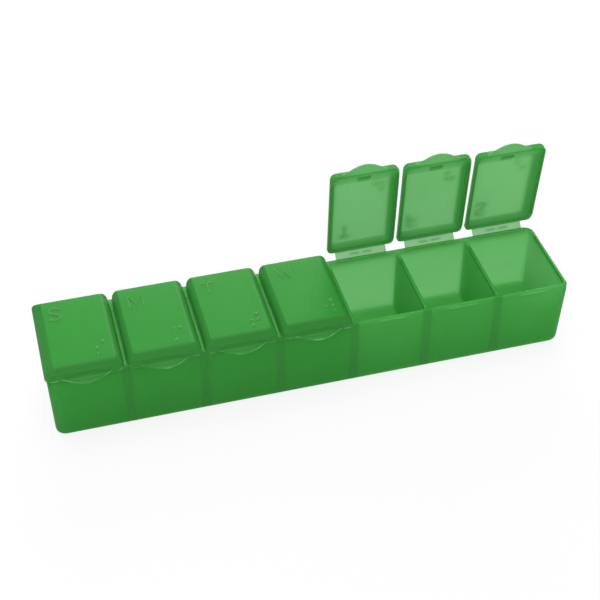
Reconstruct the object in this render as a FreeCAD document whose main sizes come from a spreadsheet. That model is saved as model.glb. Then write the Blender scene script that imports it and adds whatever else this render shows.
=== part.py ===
"""Seven-compartment weekly pill box: one open tray and seven flip lids on living hinges.

The real thing is one flexible polypropylene moulding.  Here its rigid regions, the tray
and the lids, and the thin bending films between them are separate solids, so that every
lid swings on its own.

Frame: origin at the centre of the tray's underside, X along the row of compartments
(first day at -X), Y towards the hinges, Z up.  Millimetres.
"""
import FreeCAD, Part
import Sketcher
import os
from math import pi, radians
from FreeCAD import Vector

# Each day: name, how its lid stands ("shut", or the sheet cell with its opening angle),
# its letter, and its raised braille dots as (column, row) from the cell's top left.
DAYS = [
    ("sunday", "shut", "S", [(1, 0), (0, 1), (0, 2)]),
    ("monday", "shut", "M", [(0, 0), (1, 0), (0, 2)]),
    ("tuesday", "shut", "T", [(1, 0), (0, 1), (1, 1), (0, 2)]),
    ("wednesday", "shut", "W", [(1, 0), (0, 1), (1, 1), (1, 2)]),
    ("thursday", "thursday_angle", "T", [(1, 0), (0, 1), (1, 1), (0, 2)]),
    ("friday", "friday_angle", "F", [(0, 0), (1, 0), (0, 1)]),
    ("saturday", "saturday_angle", "S", [(1, 0), (0, 1), (0, 2)]),
]

SIZES = [
    # tray
    ("tray_length", 150.0, "outside, along X, at the top"),
    ("tray_depth", 28.5, "outside, along Y, at the top"),
    ("tray_height", 22.7, "underside to rim"),
    ("tray_wall", 1.2, "outer walls, at the top"),
    ("wall_draft", 0.4, "outside narrower at the bottom, on every side"),
    ("floor_thickness", 1.3, "floor"),
    ("divider_thickness", 1.0, "walls between compartments"),
    ("front_corner_radius", 2.5, "outer upright corners at the front"),
    ("back_corner_radius", 2.8, "outer upright corners at the hinge side"),
    ("base_edge_radius", 2.0, "outer bottom edge"),
    ("well_corner_radius", 1.2, "inner upright corners"),
    ("well_floor_radius", 1.0, "inner edge of the floor"),
    ("rim_step_height", 1.8, "set-back band under the rim"),
    ("rim_step_depth", 0.2, "how far that band is set back"),
    ("bead_width", 10.0, "catch bead, along X"),
    ("bead_proud", 0.2, "catch bead, ahead of the front wall"),
    ("bead_height", 0.8, "catch bead, along Z"),
    ("bead_below_rim", 0.1, "top of the catch bead to the rim"),
    # lids
    ("lid_gap", 1.5, "between neighbouring lids"),
    ("front_overhang", 0.75, "lid past the tray's front"),
    ("end_overhang", 0.45, "end lids past the tray's ends"),
    ("lid_rise", 3.0, "tray rim to the top of a lid"),
    ("lid_wall", 1.0, "lid side walls"),
    ("lid_plate", 1.0, "lid top plate"),
    ("lid_corner_radius", 1.8, "upright corners of a lid"),
    ("lid_band", 1.7, "upright band round a lid's edge"),
    ("lid_side_slope", 1.65, "top plate set in from each side"),
    ("lid_front_slope", 1.9, "top plate set in from the front"),
    ("lid_back_slope", 0.35, "top plate set in from the hinge side"),
    ("lid_edge_radius", 0.8, "edge round the top plate"),
    ("skirt_drop", 0.3, "skirt below the tray's rim"),
    ("skirt_clearance", 0.05, "catch bead to skirt"),
    ("end_clearance", 0.15, "rim band to skirt at the tray's ends"),
    ("seat_gap", 0.1, "tray rim to the lid above it"),
    ("tab_width", 11.0, "thumb tab where it leaves the lid"),
    ("tab_reach", 3.0, "thumb tab ahead of the lid"),
    ("tab_thickness", 0.9, "thumb tab"),
    ("tab_lift", 0.2, "underside of the tab above the skirt's edge"),
    ("tab_rim", 0.9, "raised edge round the tab's dish"),
    ("tab_dish", 0.3, "depth of the dish in the tab"),
    ("catch_rib_width", 4.3, "rib inside the lid's front wall, along X"),
    ("catch_rib_depth", 0.6, "that rib, front to back"),
    # raised marks
    ("mark_height", 0.3, "letters and dots above the plate"),
    ("letter_height", 5.0, "day letter"),
    ("letter_stroke", 0.55, "stroke of the day letter"),
    ("letter_mouth", 20.0, "degrees, where the bends of the S end"),
    ("letter_left", 6.6, "letter's left edge, from the lid's middle"),
    ("letter_top", 3.5, "letter's top, from the hinge side"),
    ("dot_diameter", 1.2, "braille dot"),
    ("dot_column_pitch", 1.95, "braille columns"),
    ("dot_row_pitch", 2.3, "braille rows"),
    ("dots_right", 6.0, "right braille column, from the lid's middle"),
    ("dots_front", 4.45, "front braille row, from the front edge"),
    # living hinges
    ("film_length", 2.8, "bending film, root to root"),
    ("film_width", 15.4, "bending film, along X"),
    ("film_thickness", 0.4, "bending film"),
    ("film_rise", 0.5, "film roots above and below the rim plane"),
    # how far the open lids stand open, in degrees
    ("thursday_angle", 85.7, "thursday lid"),
    ("friday_angle", 84.7, "friday lid"),
    ("saturday_angle", 83.5, "saturday lid"),
]

TOLERANCE = 1e-4

doc = FreeCAD.newDocument("PillBox")
sheet = doc.addObject("Spreadsheet::Sheet", "Sizes")
for row, (alias, value, note) in enumerate(SIZES, start=1):
    sheet.set(f"A{row}", alias)
    sheet.set(f"B{row}", str(value))
    sheet.set(f"C{row}", note)
    sheet.setAlias(f"B{row}", alias)
doc.recompute()

# Places that several pieces share, written once as expressions on the sheet.
PITCH = f"(Sizes.tray_length / {len(DAYS)})"
END = "(Sizes.tray_length / 2)"
FRONT = "(-Sizes.tray_depth / 2)"
BACK = "(Sizes.tray_depth / 2)"
RIM = "Sizes.tray_height"
STEP = "(Sizes.tray_height - Sizes.rim_step_height)"
SKIRT_BOTTOM = "(Sizes.tray_height - Sizes.skirt_drop)"
LID_FRONT = f"({FRONT} - Sizes.front_overhang)"
ROOM_FRONT = f"({FRONT} - Sizes.bead_proud - Sizes.skirt_clearance)"
ROOM_END = f"({END} - Sizes.rim_step_depth + Sizes.end_clearance)"
TAB_UNDER = "(Sizes.tray_height - Sizes.skirt_drop + Sizes.tab_lift)"
LID_SEAT = "(Sizes.tray_height + Sizes.seat_gap)"
BAND_TOP = "(Sizes.tray_height + Sizes.lid_band)"
LID_TOP = "(Sizes.tray_height + Sizes.lid_rise)"
PLATE_UNDER = f"({LID_TOP} - Sizes.lid_plate)"
HINGE_Y = f"({BACK} + Sizes.film_length / 2)"


def at(expression):
    """Present value of an expression on the sheet."""
    return float(sheet.evalExpression(expression))


def middle_of(index):
    return f"(({index} + 0.5) * {PITCH} - {END})"


# ---------------------------------------------------------------- sketches

def new_body(label):
    body = doc.addObject("PartDesign::Body", "Body_" + label)
    body.Label = label
    return body


def new_sketch(body, name, offset="0", role="XY_Plane"):
    """Sketch on one of the body's own origin planes, moved along its normal."""
    sketch = body.newObject("Sketcher::SketchObject", name)
    plane = [feature for feature in body.Origin.OriginFeatures if feature.Role == role][0]
    sketch.AttachmentSupport = (plane, [""])
    sketch.MapMode = "FlatFace"
    sketch.setExpression("AttachmentOffset.Base.z", offset)
    return sketch


def hold(sketch, kind, places, value):
    """Add one dimension whose size is an expression."""
    index = sketch.addConstraint(Sketcher.Constraint(kind, *places, at(value)))
    sketch.setExpression(f"Constraints[{index}]", value)


def pin_point(sketch, edge, end, x, y):
    """Hold one end (1, 2) or the centre (3) of an edge at a place."""
    hold(sketch, "DistanceX", (-1, 1, edge, end), x)
    hold(sketch, "DistanceY", (-1, 1, edge, end), y)


def join_ends(sketch, kind, edges):
    """Join each edge's end to the next one's start, and the last to the first."""
    for edge, following in zip(edges, edges[1:] + edges[:1]):
        sketch.addConstraint(Sketcher.Constraint(kind, edge, 2, following, 1))


def outline(sketch, corners):
    """Closed outline of straight edges through corners given as expressions."""
    places = [Vector(at(x), at(y), 0) for x, y in corners]
    runs = zip(places, places[1:] + places[:1])
    edges = [sketch.addGeometry(Part.LineSegment(start, stop)) for start, stop in runs]
    join_ends(sketch, "Coincident", edges)
    for edge, (x, y) in zip(edges, corners):
        pin_point(sketch, edge, 1, x, y)


def rounded_outline(sketch, left, right, front, back, front_radius, back_radius):
    """Closed rectangle with a round at each corner, placed by expressions."""
    x0, x1, y0, y1 = (at(value) for value in (left, right, front, back))
    r, s = at(front_radius), at(back_radius)
    centres = [(x1 - r, y0 + r), (x1 - s, y1 - s), (x0 + s, y1 - s), (x0 + r, y0 + r)]
    starts = [(x0 + r, y0), (x1, y0 + r), (x1 - s, y1), (x0, y1 - s)]
    stops = [(x1 - r, y0), (x1, y1 - s), (x0 + s, y1), (x0, y0 + r)]
    edges = []
    for quarter, size in enumerate((r, s, s, r)):
        run = Part.LineSegment(Vector(*starts[quarter], 0), Vector(*stops[quarter], 0))
        circle = Part.Circle(Vector(*centres[quarter], 0), Vector(0, 0, 1), size)
        turn = (quarter - 1) * pi / 2
        edges.append(sketch.addGeometry(run))
        edges.append(sketch.addGeometry(Part.ArcOfCircle(circle, turn, turn + pi / 2)))
    join_ends(sketch, "Tangent", edges)
    front_run, corner, right_run, second, back_run, third, left_run, fourth = edges
    for run in (front_run, back_run):
        sketch.addConstraint(Sketcher.Constraint("Horizontal", run))
    for run in (right_run, left_run):
        sketch.addConstraint(Sketcher.Constraint("Vertical", run))
    for near, far, radius in ((corner, fourth, front_radius), (second, third, back_radius)):
        sketch.addConstraint(Sketcher.Constraint("Equal", near, far))
        hold(sketch, "Radius", (near,), radius)
    hold(sketch, "DistanceY", (-1, 1, front_run, 1), front)
    hold(sketch, "DistanceX", (-1, 1, right_run, 1), right)
    hold(sketch, "DistanceY", (-1, 1, back_run, 1), back)
    hold(sketch, "DistanceX", (-1, 1, left_run, 1), left)


def segment_outline(sketch, middle, base, half_width, reach):
    """Segment of a circle: its chord on y = base, bulging by reach towards -Y."""
    x, y, half, bulge = at(middle), at(base), at(half_width), at(reach)
    left, right, crown = Vector(x - half, y, 0), Vector(x + half, y, 0), Vector(x, y - bulge, 0)
    bow = sketch.addGeometry(Part.Arc(left, crown, right))
    chord = sketch.addGeometry(Part.LineSegment(right, left))
    join_ends(sketch, "Coincident", [bow, chord])
    pin_point(sketch, chord, 1, f"{middle} + {half_width}", base)
    pin_point(sketch, chord, 2, f"{middle} - {half_width}", base)
    hold(sketch, "Radius", (bow,), f"(({half_width}) ^ 2 + ({reach}) ^ 2) / (2 * ({reach}))")


# ---------------------------------------------------------------- features

def pad(body, sketch, name, length, reverse=False):
    feature = body.newObject("PartDesign::Pad", name)
    feature.Profile = sketch
    feature.Reversed = reverse
    feature.setExpression("Length", length)
    doc.recompute()
    return feature


def must_cut(body, before, name):
    """A pocket or a cutting loft that points the wrong way removes nothing."""
    doc.recompute()
    if body.Shape.Volume > before - TOLERANCE:
        raise RuntimeError(f"{body.Label}: {name} cut nothing")


def pocket(body, sketch, name, length, upwards=False):
    before = body.Shape.Volume
    feature = body.newObject("PartDesign::Pocket", name)
    feature.Profile = sketch
    feature.Reversed = upwards
    feature.setExpression("Length", length)
    must_cut(body, before, name)
    return feature


def loft(body, lower, upper, name, cutting=False):
    before = body.Shape.Volume
    kind = "PartDesign::SubtractiveLoft" if cutting else "PartDesign::AdditiveLoft"
    feature = body.newObject(kind, name)
    feature.Profile = lower
    feature.Sections = [upper]
    feature.Ruled = True
    doc.recompute()
    if cutting:
        must_cut(body, before, name)
    return feature


def round_edges_at(body, base, name, radius, height):
    """Round every edge of base that lies level at one height."""
    level = at(height)
    names = []
    for number, edge in enumerate(base.Shape.Edges, start=1):
        box = edge.BoundBox
        if abs(box.ZMin - level) < TOLERANCE and abs(box.ZMax - level) < TOLERANCE:
            names.append(f"Edge{number}")
    feature = body.newObject("PartDesign::Fillet", name)
    feature.Base = (base, names)
    feature.setExpression("Radius", radius)
    doc.recompute()
    return feature


# ---------------------------------------------------------------- tray

def well_sides(index):
    """Left and right face of one compartment."""
    left = f"({index} * {PITCH} - {END} + Sizes.divider_thickness / 2)"
    right = f"({index + 1} * {PITCH} - {END} - Sizes.divider_thickness / 2)"
    if index == 0:
        left = f"(Sizes.tray_wall - {END})"
    if index == len(DAYS) - 1:
        right = f"({END} - Sizes.tray_wall)"
    return left, right


def make_tray():
    """Floor, outer walls with a set-back band under the rim, dividers and catch beads."""
    body = new_body("tray")

    # the outside widens a little from the bottom up, as a moulding does to leave its mould
    foot = new_sketch(body, "FootOutline")
    rounded_outline(foot, f"Sizes.wall_draft - {END}", f"{END} - Sizes.wall_draft",
                    f"{FRONT} + Sizes.wall_draft", f"{BACK} - Sizes.wall_draft",
                    "Sizes.front_corner_radius - Sizes.wall_draft",
                    "Sizes.back_corner_radius - Sizes.wall_draft")
    block = pad(body, foot, "TrayBlock", STEP)
    block.setExpression("TaperAngle", f"atan(Sizes.wall_draft / {STEP})")
    doc.recompute()
    round_edges_at(body, block, "BaseEdge", "Sizes.base_edge_radius", "0")

    # the front and both ends are set back under the rim, the hinge side stays flush
    band = new_sketch(body, "RimOutline", STEP)
    rounded_outline(band, f"Sizes.rim_step_depth - {END}", f"{END} - Sizes.rim_step_depth",
                    f"{FRONT} + Sizes.rim_step_depth", BACK,
                    "Sizes.front_corner_radius - Sizes.rim_step_depth", "Sizes.back_corner_radius")
    pad(body, band, "RimBand", "Sizes.rim_step_height")

    wells = new_sketch(body, "Wells", RIM)
    for index in range(len(DAYS)):
        left, right = well_sides(index)
        rounded_outline(wells, left, right, f"{FRONT} + Sizes.tray_wall", f"{BACK} - Sizes.tray_wall",
                        "Sizes.well_corner_radius", "Sizes.well_corner_radius")
    hollow = pocket(body, wells, "WellPockets", f"{RIM} - Sizes.floor_thickness")
    round_edges_at(body, hollow, "FloorEdges", "Sizes.well_floor_radius", "Sizes.floor_thickness")

    # a shallow crescent bead before each compartment, which the lid's skirt rubs past
    beads = new_sketch(body, "BeadCrescents", f"{RIM} - Sizes.bead_below_rim")
    for index in range(len(DAYS)):
        segment_outline(beads, middle_of(index), f"({FRONT} + Sizes.rim_step_depth)",
                        "Sizes.bead_width / 2", "Sizes.bead_proud + Sizes.rim_step_depth")
    pad(body, beads, "CatchBeads", "Sizes.bead_height", reverse=True)
    return body


# ---------------------------------------------------------------- day letters

def bar_letter(corners):
    """Maker of a letter from corners given as (across, down) within its own box."""
    def make(sketch, left, top):
        outline(sketch, [(f"{left} + {across}", f"{top} - {down}") for across, down in corners])
    return make


TALL = "Sizes.letter_height"
STROKE = "Sizes.letter_stroke"
T_WIDE = f"(0.76 * {TALL})"
F_WIDE = f"(0.6 * {TALL})"
M_WIDE = f"(0.8 * {TALL})"
W_WIDE = f"(0.9 * {TALL})"
M_CUT = f"(1.6 * {STROKE})"
M_DIP = f"(0.75 * {TALL})"
W_FOOT = f"(0.26 * {W_WIDE})"
W_CUT = f"(1.9 * {STROKE})"
W_PEAK = f"(0.2 * {TALL})"
F_BAR = f"(({TALL} - {STROKE}) / 2)"

T_CORNERS = [
    ("0", "0"), (T_WIDE, "0"), (T_WIDE, STROKE),
    (f"({T_WIDE} + {STROKE}) / 2", STROKE), (f"({T_WIDE} + {STROKE}) / 2", TALL),
    (f"({T_WIDE} - {STROKE}) / 2", TALL), (f"({T_WIDE} - {STROKE}) / 2", STROKE), ("0", STROKE),
]
F_CORNERS = [
    ("0", "0"), (F_WIDE, "0"), (F_WIDE, STROKE), (STROKE, STROKE), (STROKE, F_BAR),
    (f"0.85 * {F_WIDE}", F_BAR), (f"0.85 * {F_WIDE}", f"({F_BAR} + {STROKE})"),
    (STROKE, f"({F_BAR} + {STROKE})"), (STROKE, TALL), ("0", TALL),
]
M_CORNERS = [
    ("0", "0"), (STROKE, "0"), (f"{M_WIDE} / 2", f"({M_DIP} - {M_CUT})"),
    (f"{M_WIDE} - {STROKE}", "0"), (M_WIDE, "0"), (M_WIDE, TALL), (f"{M_WIDE} - {STROKE}", TALL),
    (f"{M_WIDE} - {STROKE}", M_CUT), (f"{M_WIDE} / 2", M_DIP), (STROKE, M_CUT), (STROKE, TALL),
    ("0", TALL),
]
W_CORNERS = [
    ("0", "0"), (STROKE, "0"), (W_FOOT, f"({TALL} - {W_CUT})"), (f"{W_WIDE} / 2", W_PEAK),
    (f"{W_WIDE} - {W_FOOT}", f"({TALL} - {W_CUT})"), (f"{W_WIDE} - {STROKE}", "0"), (W_WIDE, "0"),
    (f"{W_WIDE} - {W_FOOT} + {STROKE} / 2", TALL), (f"{W_WIDE} - {W_FOOT} - {STROKE} / 2", TALL),
    (f"{W_WIDE} / 2", f"({W_PEAK} + {W_CUT})"), (f"{W_FOOT} + {STROKE} / 2", TALL),
    (f"{W_FOOT} - {STROKE} / 2", TALL),
]


def bend_of_s(sketch, side, middle_x, middle_y):
    """One round bend of the letter S, above (side 1) or below (side -1) its middle."""
    bend = f"(({TALL} - {STROKE}) / 4)"
    centre_y = f"{middle_y} + {side} * {bend}"
    mouth = f"(Sizes.letter_mouth + {90 - side * 90})"
    arcs = []
    for reach in (1, -1):
        radius = at(f"{bend} + {reach} * {STROKE} / 2")
        circle = Part.Circle(Vector(at(middle_x), at(centre_y), 0), Vector(0, 0, 1), radius)
        arc = Part.ArcOfCircle(circle, radians(at(mouth)), (2 - side / 2) * pi)
        arcs.append(sketch.addGeometry(arc))
        pin_point(sketch, arcs[-1], 3, middle_x, centre_y)
    outer, inner = arcs
    cap = sketch.addGeometry(Part.LineSegment(sketch.getPoint(inner, 1), sketch.getPoint(outer, 1)))
    sketch.addConstraint(Sketcher.Constraint("Coincident", cap, 1, inner, 1))
    sketch.addConstraint(Sketcher.Constraint("Coincident", cap, 2, outer, 1))
    sketch.addConstraint(Sketcher.Constraint("PointOnObject", outer, 3, cap))
    hold(sketch, "Angle", (cap,), f"{mouth} * pi / 180")
    return outer, inner


def letter_s(sketch, left, top):
    """The letter S: two equal round bends that run into each other."""
    middle_x = f"{left} + ({TALL} + {STROKE}) / 4"
    middle_y = f"{top} - {TALL} / 2"
    upper_outer, upper_inner = bend_of_s(sketch, 1, middle_x, middle_y)
    lower_outer, lower_inner = bend_of_s(sketch, -1, middle_x, middle_y)
    hold(sketch, "DistanceY", (-1, 1, upper_outer, 2), f"{middle_y} - {STROKE} / 2")
    hold(sketch, "DistanceY", (-1, 1, upper_inner, 2), f"{middle_y} + {STROKE} / 2")
    hold(sketch, "DistanceX", (-1, 1, upper_outer, 2), middle_x)
    hold(sketch, "DistanceX", (-1, 1, upper_inner, 2), middle_x)
    sketch.addConstraint(Sketcher.Constraint("Coincident", upper_outer, 2, lower_inner, 2))
    sketch.addConstraint(Sketcher.Constraint("Coincident", upper_inner, 2, lower_outer, 2))


LETTERS = {
    "S": letter_s,
    "M": bar_letter(M_CORNERS),
    "T": bar_letter(T_CORNERS),
    "W": bar_letter(W_CORNERS),
    "F": bar_letter(F_CORNERS),
}


# ---------------------------------------------------------------- lids

def lid_sides(index):
    """Left and right edge of one lid: the end lids reach over the tray's ends."""
    left = f"({index} * {PITCH} - {END} + Sizes.lid_gap / 2)"
    right = f"({index + 1} * {PITCH} - {END} - Sizes.lid_gap / 2)"
    if index == 0:
        left = f"(-{END} - Sizes.end_overhang)"
    if index == len(DAYS) - 1:
        right = f"({END} + Sizes.end_overhang)"
    return left, right


def lid_section(body, name, index, height, inset="0", slope="0"):
    """Outline of a lid at one height: inset from its edge all round, and by a share of its slopes."""
    left, right = lid_sides(index)
    corner = f"Sizes.lid_corner_radius - 0.6 * {inset}"
    sketch = new_sketch(body, name, height)
    rounded_outline(sketch, f"{left} + {inset} + {slope} * Sizes.lid_side_slope",
                    f"{right} - {inset} - {slope} * Sizes.lid_side_slope",
                    f"{LID_FRONT} + {inset} + {slope} * Sizes.lid_front_slope",
                    f"{BACK} - {inset} - {slope} * Sizes.lid_back_slope", corner, corner)
    return sketch


def add_catch_rib(body, index):
    """Rib down the inside of the front wall, following its slope up to the plate."""
    rise = f"(({PLATE_UNDER} - {BAND_TOP}) / ({LID_TOP} - {BAND_TOP}))"
    lean = f"({rise} * Sizes.lid_front_slope)"
    inside_wall = f"{LID_FRONT} + Sizes.lid_wall / 2"
    rib_face = f"{LID_FRONT} + Sizes.lid_wall + Sizes.catch_rib_depth"
    sketch = new_sketch(body, "RibProfile", f"{middle_of(index)} - Sizes.catch_rib_width / 2", "YZ_Plane")
    outline(sketch, [(inside_wall, LID_SEAT), (rib_face, LID_SEAT), (rib_face, BAND_TOP),
                     (f"{rib_face} + {lean}", PLATE_UNDER), (f"{inside_wall} + {lean}", PLATE_UNDER),
                     (inside_wall, BAND_TOP)])
    pad(body, sketch, "CatchRib", "Sizes.catch_rib_width")


def add_thumb_tab(body, index):
    """Crescent tab on the front edge, with a shallow dish for a fingertip."""
    crescent = new_sketch(body, "TabCrescent", TAB_UNDER)
    segment_outline(crescent, middle_of(index), LID_FRONT, "Sizes.tab_width / 2", "Sizes.tab_reach")
    pad(body, crescent, "ThumbTab", "Sizes.tab_thickness")
    dish = new_sketch(body, "TabDish", f"{TAB_UNDER} + Sizes.tab_thickness")
    segment_outline(dish, middle_of(index), LID_FRONT, "(Sizes.tab_width / 2 - 2 * Sizes.tab_rim)",
                    "(Sizes.tab_reach - Sizes.tab_rim)")
    pocket(body, dish, "TabDishPocket", "Sizes.tab_dish")


def add_marks(body, index, letter, dots):
    """Raised braille dots at the front right of the plate, raised letter at its back left."""
    cells = new_sketch(body, "BrailleCell", LID_TOP)
    for column, line in dots:
        x = f"{middle_of(index)} + Sizes.dots_right - {1 - column} * Sizes.dot_column_pitch"
        y = f"{LID_FRONT} + Sizes.dots_front + {2 - line} * Sizes.dot_row_pitch"
        circle = Part.Circle(Vector(at(x), at(y), 0), Vector(0, 0, 1), at("Sizes.dot_diameter / 2"))
        dot = cells.addGeometry(circle)
        pin_point(cells, dot, 3, x, y)
        hold(cells, "Diameter", (dot,), "Sizes.dot_diameter")
    raised = pad(body, cells, "BrailleDots", "Sizes.mark_height")
    round_edges_at(body, raised, "DotCrowns", "0.9 * Sizes.mark_height", f"{LID_TOP} + Sizes.mark_height")

    strokes = new_sketch(body, "LetterStrokes", LID_TOP)
    LETTERS[letter](strokes, f"{middle_of(index)} - Sizes.letter_left", f"{BACK} - Sizes.letter_top")
    pad(body, strokes, "DayLetter", "Sizes.mark_height")


def stand_open(body, angle):
    """Turn a body about its hinge line, from shut to the angle in one sheet cell."""
    cosine, sine = f"cos({angle} * 1 deg)", f"sin({angle} * 1 deg)"
    body.Placement = FreeCAD.Placement(Vector(0, 0, 0), FreeCAD.Rotation(Vector(-1, 0, 0), at(angle)))
    body.setExpression("Placement.Rotation.Angle", f"{angle} * 1 deg")
    body.setExpression("Placement.Base.y", f"{HINGE_Y} * (1 - {cosine}) - {RIM} * {sine}")
    body.setExpression("Placement.Base.z", f"{RIM} * (1 - {cosine}) + {HINGE_Y} * {sine}")


def make_lid(index, day, standing, letter, dots):
    """Shallow cap with sloping sides, a skirt outside the tray's rim, a tab and raised marks."""
    body = new_body("lid_" + day)

    edge = lid_section(body, "EdgeOutline", index, SKIRT_BOTTOM)
    pad(body, edge, "EdgeBand", f"{BAND_TOP} - {SKIRT_BOTTOM}")
    slope_foot = lid_section(body, "SlopeFoot", index, BAND_TOP)
    slope_head = lid_section(body, "SlopeHead", index, LID_TOP, slope="1")
    cap = loft(body, slope_foot, slope_head, "Slopes")
    round_edges_at(body, cap, "PlateEdge", "Sizes.lid_edge_radius", LID_TOP)

    inner_edge = lid_section(body, "InnerEdge", index, LID_SEAT, inset="Sizes.lid_wall")
    pocket(body, inner_edge, "InnerBand", f"{BAND_TOP} - {LID_SEAT}", upwards=True)
    inner_foot = lid_section(body, "InnerFoot", index, BAND_TOP, inset="Sizes.lid_wall")
    inner_head = lid_section(body, "InnerHead", index, PLATE_UNDER, inset="Sizes.lid_wall",
                             slope=f"(({PLATE_UNDER} - {BAND_TOP}) / ({LID_TOP} - {BAND_TOP}))")
    loft(body, inner_foot, inner_head, "InnerSlopes", cutting=True)

    # room for the tray's rim: what is left below the seat is the skirt
    rim_room = new_sketch(body, "RimRoom", SKIRT_BOTTOM)
    rounded_outline(rim_room, f"-{ROOM_END}", ROOM_END, ROOM_FRONT, f"{BACK} + Sizes.film_length",
                    "Sizes.front_corner_radius", "Sizes.front_corner_radius")
    pocket(body, rim_room, "RimRoomPocket", f"{LID_SEAT} - {SKIRT_BOTTOM}", upwards=True)

    add_catch_rib(body, index)
    add_thumb_tab(body, index)
    add_marks(body, index, letter, dots)
    if standing != "shut":
        stand_open(body, f"Sizes.{standing}")
    return body


# ---------------------------------------------------------------- living hinges

def shut_film(sketch):
    """Film of a shut lid: it leaves the tray's back, turns over and comes back to the lid."""
    run = "((Sizes.film_length - pi * Sizes.film_rise) / 2)"
    turn_y = f"{BACK} + {run}"
    inner, outer = "(Sizes.film_rise - Sizes.film_thickness / 2)", "(Sizes.film_rise + Sizes.film_thickness / 2)"
    centre = Vector(at(turn_y), at(RIM), 0)
    bows = []
    for radius in (inner, outer):
        circle = Part.Circle(centre, Vector(0, 0, 1), at(radius))
        bows.append(sketch.addGeometry(Part.ArcOfCircle(circle, -pi / 2, pi / 2)))
    for side, end in ((-1, 1), (1, 2)):
        root = [Vector(at(BACK), at(f"{RIM} + {side} * {radius}"), 0) for radius in (inner, outer)]
        bend = [sketch.getPoint(bow, end) for bow in bows]
        face = sketch.addGeometry(Part.LineSegment(root[0], root[1]))
        for place, (bow, radius) in enumerate(zip(bows, (inner, outer))):
            straight = sketch.addGeometry(Part.LineSegment(root[place], bend[place]))
            pin_point(sketch, straight, 1, BACK, f"{RIM} + {side} * {radius}")
            pin_point(sketch, straight, 2, turn_y, f"{RIM} + {side} * {radius}")
            sketch.addConstraint(Sketcher.Constraint("Coincident", straight, 2, bow, end))
            sketch.addConstraint(Sketcher.Constraint("Coincident", face, place + 1, straight, 1))
    for bow in bows:
        hold(sketch, "DistanceX", (-1, 1, bow, 3), turn_y)


def open_film(sketch, angle):
    """Film of an open lid: nearly straight from the tray's back to the lid's edge."""
    cosine, sine = f"cos({angle} * 1 deg)", f"sin({angle} * 1 deg)"

    def on_lid(reach):
        """Place that a point of the shut lid's back face, reach above the rim, swings to."""
        return (f"{HINGE_Y} - Sizes.film_length / 2 * {cosine} + {reach} * {sine}",
                f"{RIM} + Sizes.film_length / 2 * {sine} + {reach} * {cosine}")

    near, far = "(Sizes.film_rise - Sizes.film_thickness / 2)", "(Sizes.film_rise + Sizes.film_thickness / 2)"
    outline(sketch, [(BACK, f"{RIM} - {far}"), on_lid(far), on_lid(near), (BACK, f"{RIM} - {near}")])


def make_film(index, day, standing):
    """Thin bending strip between the tray's back wall and one lid."""
    body = new_body("hinge_film_" + day)
    offset = f"{middle_of(index)} - Sizes.film_width / 2"
    profile = new_sketch(body, "FilmProfile", offset, "YZ_Plane")
    if standing == "shut":
        shut_film(profile)
    else:
        open_film(profile, f"Sizes.{standing}")
    pad(body, profile, "Film", "Sizes.film_width")
    return body


# ---------------------------------------------------------------- build, check, write

pieces = [make_tray()]
for index, (day, standing, letter, dots) in enumerate(DAYS):
    pieces.append(make_lid(index, day, standing, letter, dots))
    pieces.append(make_film(index, day, standing))
doc.recompute()

for thing in doc.Objects:
    if "Invalid" in thing.State or "Error" in thing.State:
        raise RuntimeError(f"{thing.Label} did not build: {thing.State}")
for piece in pieces:
    if piece.Shape.isNull() or not piece.Shape.isValid() or len(piece.Shape.Solids) != 1:
        raise RuntimeError(f"{piece.Label} is not one sound solid")

os.makedirs("parts", exist_ok=True)
for piece in pieces:
    piece.Shape.exportStep(f"parts/{piece.Label}.step")
    box = piece.Shape.BoundBox
    print(f"{piece.Label:24s} {piece.Shape.Volume:9.1f} mm3  x {box.XMin:7.2f} {box.XMax:7.2f}"
          f"  y {box.YMin:7.2f} {box.YMax:7.2f}  z {box.ZMin:7.2f} {box.ZMax:7.2f}")
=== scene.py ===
"""A weekly pill box: one frosted green tray with seven flip lids on living hinges."""
import bmesh
import bpy
from math import cos, pi, radians, sin
from mathutils import Matrix, Vector
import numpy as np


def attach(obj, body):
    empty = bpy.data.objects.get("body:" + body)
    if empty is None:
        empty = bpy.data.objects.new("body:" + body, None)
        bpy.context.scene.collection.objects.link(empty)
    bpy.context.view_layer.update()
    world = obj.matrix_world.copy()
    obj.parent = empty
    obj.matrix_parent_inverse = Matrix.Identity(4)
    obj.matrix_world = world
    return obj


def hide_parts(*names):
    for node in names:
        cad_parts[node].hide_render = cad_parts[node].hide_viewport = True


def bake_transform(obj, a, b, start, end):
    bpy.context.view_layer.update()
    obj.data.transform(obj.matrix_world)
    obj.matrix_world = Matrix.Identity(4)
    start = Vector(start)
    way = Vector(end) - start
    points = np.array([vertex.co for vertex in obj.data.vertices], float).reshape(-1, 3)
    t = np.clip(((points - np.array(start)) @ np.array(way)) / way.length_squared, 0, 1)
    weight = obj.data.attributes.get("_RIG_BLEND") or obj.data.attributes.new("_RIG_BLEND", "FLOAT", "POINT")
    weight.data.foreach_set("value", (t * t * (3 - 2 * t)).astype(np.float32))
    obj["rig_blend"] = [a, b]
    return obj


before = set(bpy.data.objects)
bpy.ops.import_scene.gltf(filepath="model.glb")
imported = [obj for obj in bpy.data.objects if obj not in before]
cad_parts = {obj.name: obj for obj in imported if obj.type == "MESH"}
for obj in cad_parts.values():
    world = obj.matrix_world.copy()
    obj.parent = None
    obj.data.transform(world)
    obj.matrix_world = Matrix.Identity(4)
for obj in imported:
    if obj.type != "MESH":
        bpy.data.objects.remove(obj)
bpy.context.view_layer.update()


# ------------------------------------------------------------------ camera
# The box is looked down on from its front left through a medium long lens, about
# 40 cm away, so that the row of compartments runs away to the right.

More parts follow.
